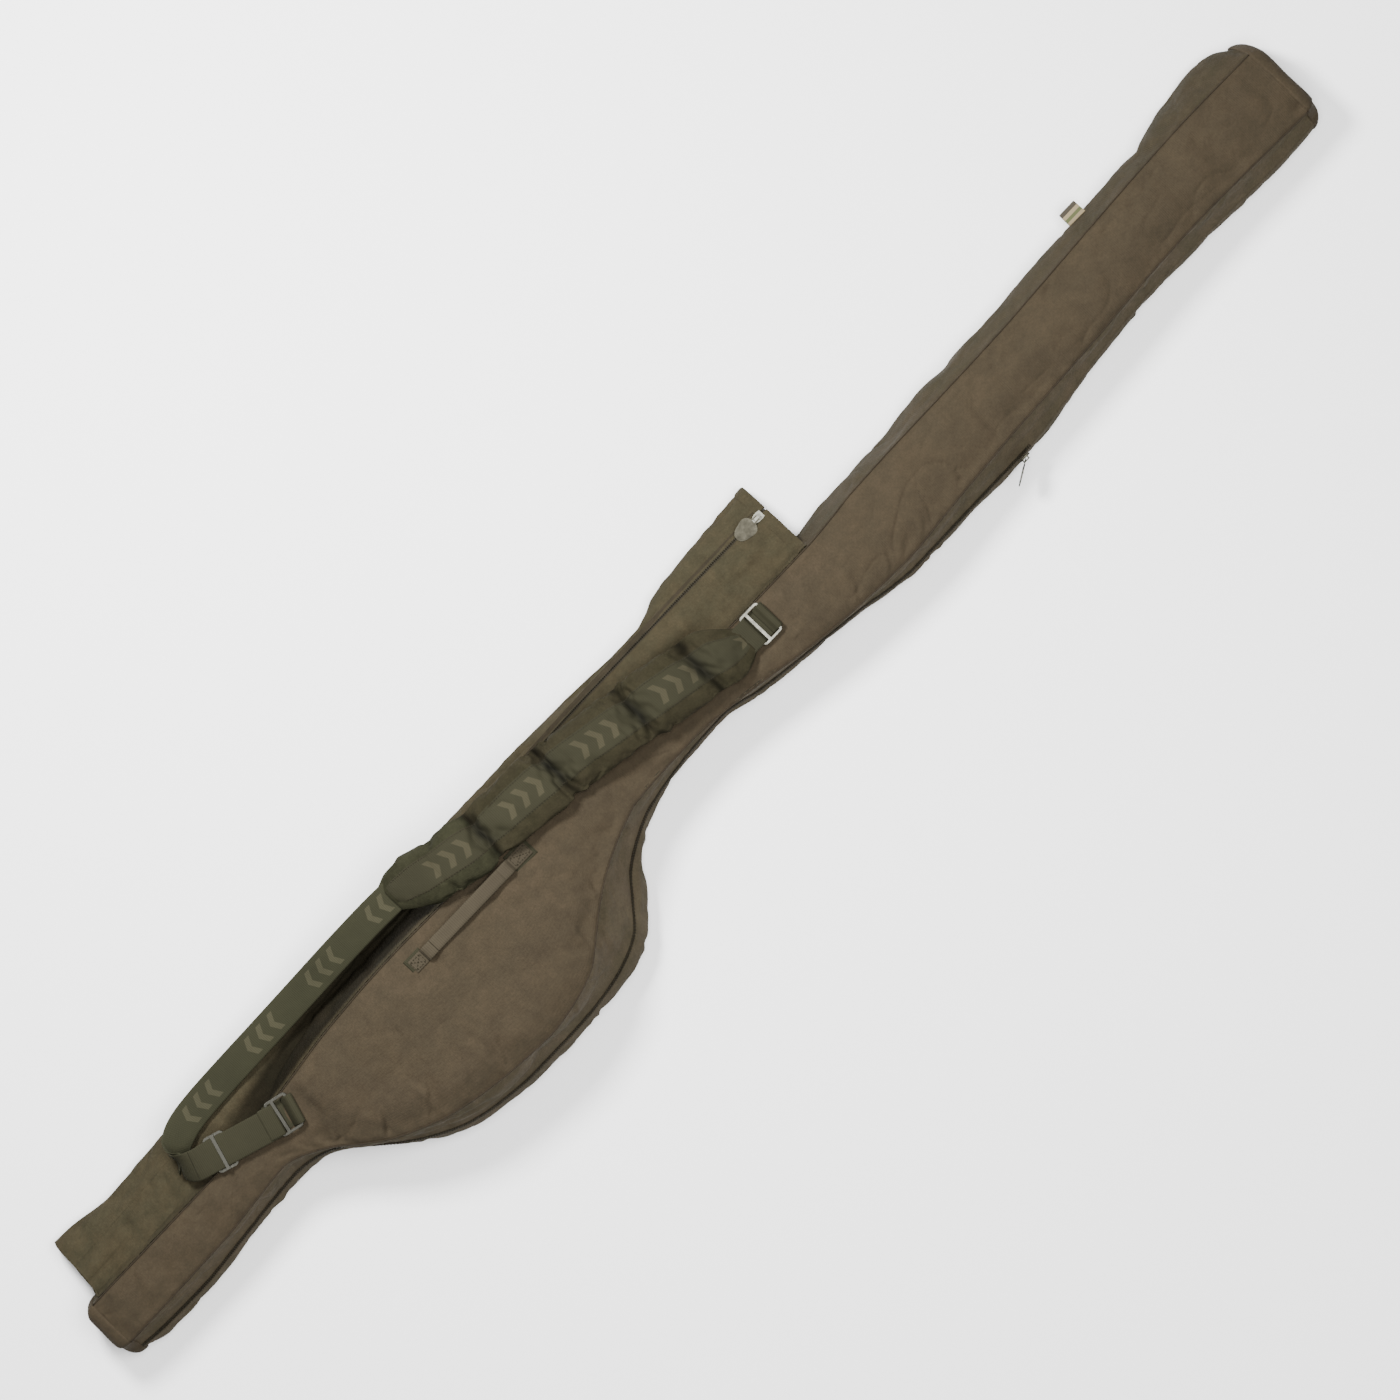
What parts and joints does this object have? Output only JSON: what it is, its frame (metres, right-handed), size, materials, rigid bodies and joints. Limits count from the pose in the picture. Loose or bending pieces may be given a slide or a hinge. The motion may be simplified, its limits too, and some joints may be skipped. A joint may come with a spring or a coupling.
{
  "type": "rod case",
  "caption": "Long padded fishing rod case with a reel bulge, a zip down one side, an outside sleeve pocket, a padded shoulder strap and a carry handle.",
  "frame": {"origin": "bottom centre of the bounding box", "axes": "+X from the butt end to the tip end, +Y towards the outside pocket, +Z out of the front panel, with the case lying on its back"},
  "size_m": [1.964, 0.2978, 0.13],
  "materials": {
    "shell_cloth": "matt olive-brown polyester, coarse plain weave",
    "trim_cloth": "matt dark olive binding tape",
    "zip_nylon": "dark olive woven zip tape with a nylon coil",
    "foam": "grey closed-cell foam",
    "lining": "dark nylon with a hook-and-loop face",
    "webbing": "olive polypropylene webbing, ribbed across",
    "pad_cloth": "dark olive padded polyester",
    "steel": "satin nickel-plated",
    "dark_metal": "dark lacquered zinc",
    "tag_cloth": "woven ribbon in tan and green bands"
  },
  "bodies": {
    "case": {"back_panel": "shell_cloth", "left_gusset_butt": "shell_cloth", "left_gusset_reel": "shell_cloth", "left_gusset_pocket": "shell_cloth", "left_gusset_tip": "shell_cloth", "right_lower_gusset": "shell_cloth", "right_upper_gusset_butt": "shell_cloth", "right_upper_gusset_tip": "shell_cloth", "front_panel_butt": "shell_cloth", "front_panel_tip": "shell_cloth", "butt_cap": "shell_cloth", "tip_cap": "shell_cloth", "pocket_inner_panel": "shell_cloth", "pocket_outer_panel": "shell_cloth", "pocket_back_panel": "shell_cloth", "pocket_end_panel": "shell_cloth", "front_piping_left": "trim_cloth", "front_piping_butt": "trim_cloth", "front_piping_tip": "trim_cloth", "pocket_seam_tape": "trim_cloth", "pocket_mouth_inner_binding": "trim_cloth", "pocket_mouth_outer_binding": "trim_cloth", "pocket_mouth_back_binding": "trim_cloth", "handle_patch_butt": "trim_cloth", "handle_patch_tip": "trim_cloth", "main_zip_lower_half": "zip_nylon", "main_zip_upper_half_butt": "zip_nylon", "main_zip_upper_half_tip": "zip_nylon", "pocket_zip_inner_half": "zip_nylon", "pocket_zip_outer_half": "zip_nylon", "back_foam": "foam", "front_foam": "foam", "reel_pad": "foam", "rod_tie_butt": "lining", "rod_tie_middle": "lining", "rod_tie_tip": "lining", "upper_strap_tab": "webbing", "upper_strap_loop": "webbing", "lower_strap_tab": "webbing", "lower_strap_loop": "webbing", "upper_buckle": "steel", "lower_buckle": "steel", "side_tag": "tag_cloth"},
    "reel_flap": {"reel_flap_panel": "shell_cloth", "reel_flap_gusset": "shell_cloth", "reel_flap_piping": "trim_cloth", "reel_flap_foam": "foam", "reel_flap_zip_half": "zip_nylon"},
    "main_slider": {"main_zip_slider": "dark_metal"},
    "main_pull": {"main_zip_pull": "dark_metal"},
    "pocket_slider": {"pocket_zip_slider": "steel"},
    "pocket_pull": {"pocket_zip_pull": "steel"},
    "shoulder_strap": {"strap_pad_upper_end": "pad_cloth", "strap_pad": "pad_cloth", "strap_pad_lower_end": "pad_cloth", "strap_webbing": "webbing"},
    "adjuster": {"strap_adjuster": "steel"},
    "carry_handle": {"handle_leg_butt": "webbing", "handle_grip": "webbing", "handle_leg_tip": "webbing"}
  },
  "joints": [
    {"name": "reel_flap_hinge", "type": "hinge", "parent": "case", "child": "reel_flap", "pos_m": [-0.393, -0.03314, 0.11], "axis": [-1, 0, 0], "range_deg": [0, 90]},
    {"name": "main_slider_slide", "type": "slide", "parent": "case", "child": "main_slider", "axis": [-1, 0, 0], "range_m": [0, 0.17]},
    {"name": "main_pull_hinge", "type": "hinge", "parent": "main_slider", "child": "main_pull", "pos_m": [0.4606, -0.06309, 0.04], "axis": [0, 0, 1], "range_deg": [-24, 110]},
    {"name": "pocket_slider_slide", "type": "slide", "parent": "case", "child": "pocket_slider", "axis": [-1, 0, 0], "range_m": [0, 0.24]},
    {"name": "pocket_pull_hinge", "type": "hinge", "parent": "pocket_slider", "child": "pocket_pull", "pos_m": [0.2016, 0.11186, 0.05135], "axis": [0, 1, 0], "range_deg": [0, 170]},
    {"name": "shoulder_strap_swing", "type": "hinge", "parent": "case", "child": "shoulder_strap", "pos_m": [0.103, -0.00614, 0.091], "axis": [0.9995, -0.0326, -0.0012], "range_deg": [0, 75]},
    {"name": "adjuster_slide", "type": "slide", "parent": "shoulder_strap", "child": "adjuster", "axis": [0.9504, -0.3043, 0.0642], "range_m": [0, 0.022]},
    {"name": "carry_handle_lift", "type": "slide", "parent": "case", "child": "carry_handle", "axis": [0, 0, 1], "range_m": [0, 0.022]}
  ]
}
